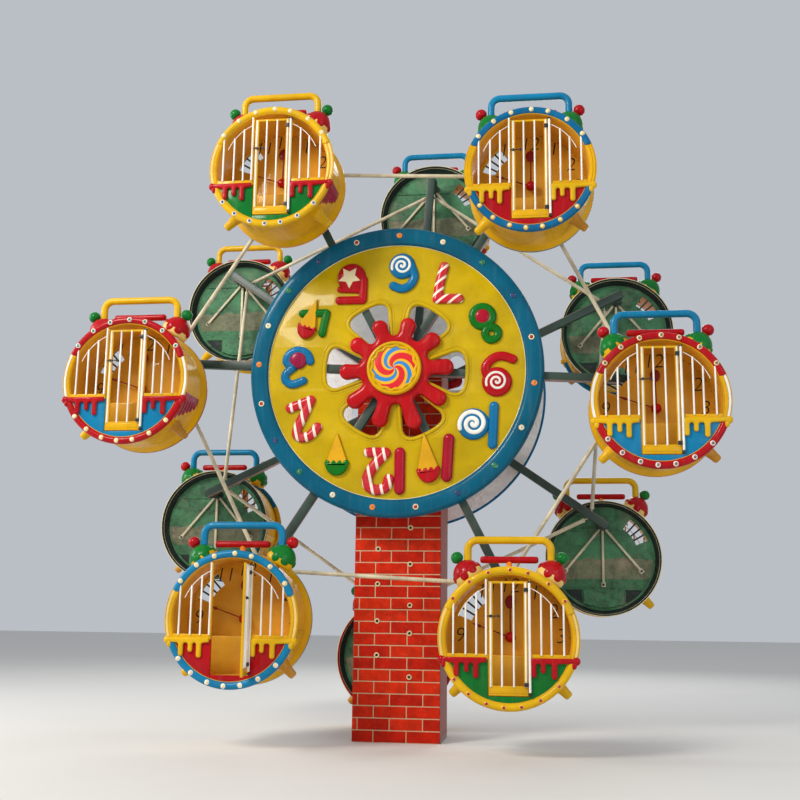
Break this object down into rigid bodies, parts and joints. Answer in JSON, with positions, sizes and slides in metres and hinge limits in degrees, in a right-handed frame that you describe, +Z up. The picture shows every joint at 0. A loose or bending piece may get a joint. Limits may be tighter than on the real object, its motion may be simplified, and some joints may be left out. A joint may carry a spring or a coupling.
{
  "type": "double-sided fairground wheel with clock cabins",
  "caption": "Small double-sided fairground wheel on a brick-clad column, with candy clock dials, spoked frames tied in hexagons and round clock-shaped cabins that hang level and have doors.",
  "frame": {"origin": "on the ground, under the middle of the column's base", "axes": "+Z up, the wheel's axle along Y with the pictured side facing -Y, +X to the right of that side"},
  "size_m": [7.6336, 4.0657, 8.1517],
  "materials": {
    "brick_cladding": "moulded brick-pattern panels, red with cream joints",
    "frame_steel": "dark grey-green paint, weathered",
    "tie_bars": "dull beige paint",
    "dial": "glossy gelcoat, yellow with a blue rim",
    "splash_boss": "glossy red gelcoat",
    "cabin_shell": "golden yellow gelcoat outside, raw moulding at the back",
    "cabin_door": "golden yellow gelcoat",
    "bells_red": "glossy red bells, green knobs, yellow handle",
    "bells_green": "glossy green bells, red knobs, blue handle"
  },
  "bodies": {
    "tower": {"column": "brick_cladding", "bearing_front": "frame_steel", "bearing_rear": "frame_steel"},
    "wheel": {"axle": "frame_steel", "front_arm_1": "frame_steel", "front_arm_2": "frame_steel", "front_arm_3": "frame_steel", "front_arm_4": "frame_steel", "front_arm_5": "frame_steel", "front_arm_6": "frame_steel", "front_ties": "tie_bars", "front_dial": "dial", "front_star": "splash_boss", "rear_arm_1": "frame_steel", "rear_arm_2": "frame_steel", "rear_arm_3": "frame_steel", "rear_arm_4": "frame_steel", "rear_arm_5": "frame_steel", "rear_arm_6": "frame_steel", "rear_ties": "tie_bars", "rear_dial": "dial", "rear_star": "splash_boss"},
    "cabin_01": {"cabin_01_drum": "cabin_shell", "cabin_01_bells": "bells_green"},
    "cabin_01_door": {"cabin_01_door": "cabin_door"},
    "cabin_02": {"cabin_02_drum": "cabin_shell", "cabin_02_bells": "bells_green"},
    "cabin_02_door": {"cabin_02_door": "cabin_door"},
    "cabin_03": {"cabin_03_drum": "cabin_shell", "cabin_03_bells": "bells_red"},
    "cabin_03_door": {"cabin_03_door": "cabin_door"},
    "cabin_04": {"cabin_04_drum": "cabin_shell", "cabin_04_bells": "bells_red"},
    "cabin_04_door": {"cabin_04_door": "cabin_door"},
    "cabin_05": {"cabin_05_drum": "cabin_shell", "cabin_05_bells": "bells_green"},
    "cabin_05_door": {"cabin_05_door": "cabin_door"},
    "cabin_06": {"cabin_06_drum": "cabin_shell", "cabin_06_bells": "bells_red"},
    "cabin_06_door": {"cabin_06_door": "cabin_door"},
    "cabin_07": {"cabin_07_drum": "cabin_shell", "cabin_07_bells": "bells_green"},
    "cabin_07_door": {"cabin_07_door": "cabin_door"},
    "cabin_08": {"cabin_08_drum": "cabin_shell", "cabin_08_bells": "bells_green"},
    "cabin_08_door": {"cabin_08_door": "cabin_door"},
    "cabin_09": {"cabin_09_drum": "cabin_shell", "cabin_09_bells": "bells_red"},
    "cabin_09_door": {"cabin_09_door": "cabin_door"},
    "cabin_10": {"cabin_10_drum": "cabin_shell", "cabin_10_bells": "bells_green"},
    "cabin_10_door": {"cabin_10_door": "cabin_door"},
    "cabin_11": {"cabin_11_drum": "cabin_shell", "cabin_11_bells": "bells_red"},
    "cabin_11_door": {"cabin_11_door": "cabin_door"},
    "cabin_12": {"cabin_12_drum": "cabin_shell", "cabin_12_bells": "bells_red"},
    "cabin_12_door": {"cabin_12_door": "cabin_door"}
  },
  "joints": [
    {"name": "wheel_spin", "type": "hinge", "parent": "tower", "child": "wheel", "pos_m": [0, 0, 4.41], "axis": [0, 1, 0], "continuous": true},
    {"name": "cabin_01_level", "type": "hinge", "parent": "wheel", "child": "cabin_01", "pos_m": [3.05581, -0.95, 4.24985], "axis": [0, 1, 0], "continuous": true},
    {"name": "cabin_01_door_hinge", "type": "hinge", "parent": "cabin_01", "child": "cabin_01_door", "pos_m": [3.28381, -1.804, 3.82485], "axis": [0, 0, 1], "range_deg": [0, 108]},
    {"name": "cabin_02_level", "type": "hinge", "parent": "wheel", "child": "cabin_02", "pos_m": [1.6666, -0.95, 6.97633], "axis": [0, 1, 0], "continuous": true},
    {"name": "cabin_02_door_hinge", "type": "hinge", "parent": "cabin_02", "child": "cabin_02_door", "pos_m": [1.8946, -1.804, 6.55133], "axis": [0, 0, 1], "range_deg": [0, 108]},
    {"name": "cabin_03_level", "type": "hinge", "parent": "wheel", "child": "cabin_03", "pos_m": [-1.38921, -0.95, 7.13648], "axis": [0, 1, 0], "continuous": true},
    {"name": "cabin_03_door_hinge", "type": "hinge", "parent": "cabin_03", "child": "cabin_03_door", "pos_m": [-1.16121, -1.804, 6.71148], "axis": [0, 0, 1], "range_deg": [0, 108]},
    {"name": "cabin_04_level", "type": "hinge", "parent": "wheel", "child": "cabin_04", "pos_m": [-3.05581, -0.95, 4.57015], "axis": [0, 1, 0], "continuous": true},
    {"name": "cabin_04_door_hinge", "type": "hinge", "parent": "cabin_04", "child": "cabin_04_door", "pos_m": [-2.82781, -1.804, 4.14515], "axis": [0, 0, 1], "range_deg": [0, 108]},
    {"name": "cabin_05_level", "type": "hinge", "parent": "wheel", "child": "cabin_05", "pos_m": [-1.6666, -0.95, 1.84367], "axis": [0, 1, 0], "continuous": true},
    {"name": "cabin_05_door_hinge", "type": "hinge", "parent": "cabin_05", "child": "cabin_05_door", "pos_m": [-1.4386, -1.804, 1.41867], "axis": [0, 0, 1], "range_deg": [-100, 8]},
    {"name": "cabin_06_level", "type": "hinge", "parent": "wheel", "child": "cabin_06", "pos_m": [1.38921, -0.95, 1.68352], "axis": [0, 1, 0], "continuous": true},
    {"name": "cabin_06_door_hinge", "type": "hinge", "parent": "cabin_06", "child": "cabin_06_door", "pos_m": [1.61721, -1.804, 1.25852], "axis": [0, 0, 1], "range_deg": [0, 108]},
    {"name": "cabin_07_level", "type": "hinge", "parent": "wheel", "child": "cabin_07", "pos_m": [2.76421, 0.95, 5.72254], "axis": [0, 1, 0], "continuous": true},
    {"name": "cabin_07_door_hinge", "type": "hinge", "parent": "cabin_07", "child": "cabin_07_door", "pos_m": [2.53621, 1.804, 5.29754], "axis": [0, 0, 1], "range_deg": [0, 108]},
    {"name": "cabin_08_level", "type": "hinge", "parent": "wheel", "child": "cabin_08", "pos_m": [0.24541, 0.95, 7.46014], "axis": [0, 1, 0], "continuous": true},
    {"name": "cabin_08_door_hinge", "type": "hinge", "parent": "cabin_08", "child": "cabin_08_door", "pos_m": [0.01741, 1.804, 7.03514], "axis": [0, 0, 1], "range_deg": [0, 108]},
    {"name": "cabin_09_level", "type": "hinge", "parent": "wheel", "child": "cabin_09", "pos_m": [-2.5188, 0.95, 6.1476], "axis": [0, 1, 0], "continuous": true},
    {"name": "cabin_09_door_hinge", "type": "hinge", "parent": "cabin_09", "child": "cabin_09_door", "pos_m": [-2.7468, 1.804, 5.7226], "axis": [0, 0, 1], "range_deg": [0, 108]},
    {"name": "cabin_10_level", "type": "hinge", "parent": "wheel", "child": "cabin_10", "pos_m": [-2.76421, 0.95, 3.09746], "axis": [0, 1, 0], "continuous": true},
    {"name": "cabin_10_door_hinge", "type": "hinge", "parent": "cabin_10", "child": "cabin_10_door", "pos_m": [-2.99221, 1.804, 2.67246], "axis": [0, 0, 1], "range_deg": [0, 108]},
    {"name": "cabin_11_level", "type": "hinge", "parent": "wheel", "child": "cabin_11", "pos_m": [-0.24541, 0.95, 1.35986], "axis": [0, 1, 0], "continuous": true},
    {"name": "cabin_11_door_hinge", "type": "hinge", "parent": "cabin_11", "child": "cabin_11_door", "pos_m": [-0.47341, 1.804, 0.93486], "axis": [0, 0, 1], "range_deg": [0, 108]},
    {"name": "cabin_12_level", "type": "hinge", "parent": "wheel", "child": "cabin_12", "pos_m": [2.5188, 0.95, 2.6724], "axis": [0, 1, 0], "continuous": true},
    {"name": "cabin_12_door_hinge", "type": "hinge", "parent": "cabin_12", "child": "cabin_12_door", "pos_m": [2.2908, 1.804, 2.2474], "axis": [0, 0, 1], "range_deg": [0, 108]}
  ],
  "couplings": [
    {"joint": "cabin_01_level", "follows": "wheel_spin", "ratio": -1},
    {"joint": "cabin_02_level", "follows": "wheel_spin", "ratio": -1},
    {"joint": "cabin_03_level", "follows": "wheel_spin", "ratio": -1},
    {"joint": "cabin_04_level", "follows": "wheel_spin", "ratio": -1},
    {"joint": "cabin_05_level", "follows": "wheel_spin", "ratio": -1},
    {"joint": "cabin_06_level", "follows": "wheel_spin", "ratio": -1},
    {"joint": "cabin_07_level", "follows": "wheel_spin", "ratio": -1},
    {"joint": "cabin_08_level", "follows": "wheel_spin", "ratio": -1},
    {"joint": "cabin_09_level", "follows": "wheel_spin", "ratio": -1},
    {"joint": "cabin_10_level", "follows": "wheel_spin", "ratio": -1},
    {"joint": "cabin_11_level", "follows": "wheel_spin", "ratio": -1},
    {"joint": "cabin_12_level", "follows": "wheel_spin", "ratio": -1}
  ]
}
